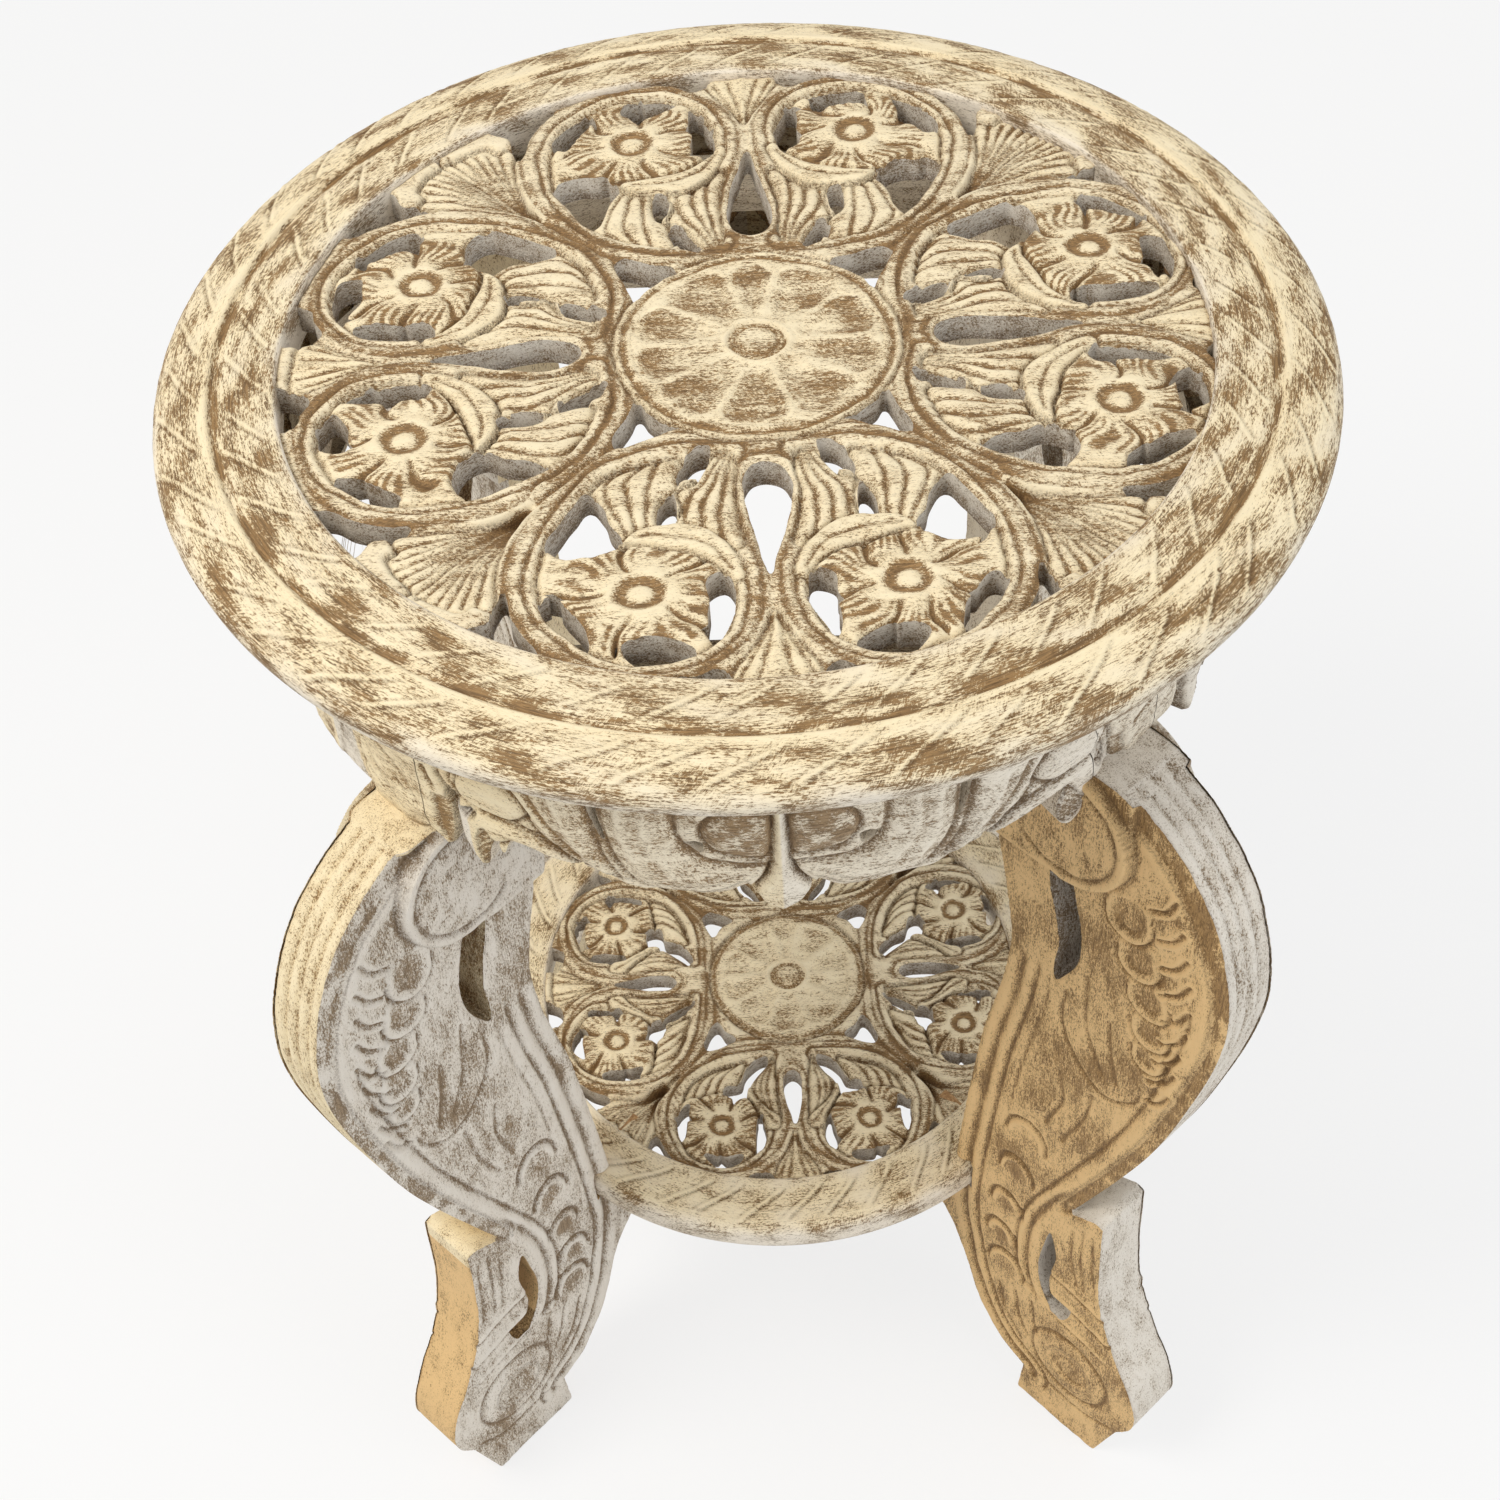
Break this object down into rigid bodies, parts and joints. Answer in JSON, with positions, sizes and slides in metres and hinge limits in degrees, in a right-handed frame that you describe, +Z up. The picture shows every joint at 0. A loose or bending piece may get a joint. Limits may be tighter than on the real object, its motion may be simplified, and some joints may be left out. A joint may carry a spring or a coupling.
{
  "type": "carved side table",
  "caption": "Round side table with a pierced, carved top, scalloped aprons, cabriole legs and a smaller pierced shelf.",
  "frame": {"origin": "on the floor, under the centre of the round top", "axes": "+Z up, -Y towards the front, +X to the right as seen from the front"},
  "size_m": [0.4, 0.4, 0.515],
  "materials": {
    "carved_wood": "distressed whitewash",
    "plain_wood": "bare wood"
  },
  "bodies": {
    "root": {"top_rim": "carved_wood", "top_fretwork": "carved_wood", "apron_front": "carved_wood", "apron_right": "carved_wood", "apron_back": "carved_wood", "apron_left": "carved_wood", "leg_front_left": "carved_wood", "leg_front_right": "carved_wood", "leg_back_right": "carved_wood", "leg_back_left": "carved_wood", "glue_block_front_left_a": "plain_wood", "glue_block_front_left_b": "plain_wood", "glue_block_front_right_a": "plain_wood", "glue_block_front_right_b": "plain_wood", "glue_block_back_right_a": "plain_wood", "glue_block_back_right_b": "plain_wood", "glue_block_back_left_a": "plain_wood", "glue_block_back_left_b": "plain_wood", "shelf_rim": "carved_wood", "shelf_fretwork": "carved_wood", "dowels": "plain_wood"}
  },
  "joints": []
}
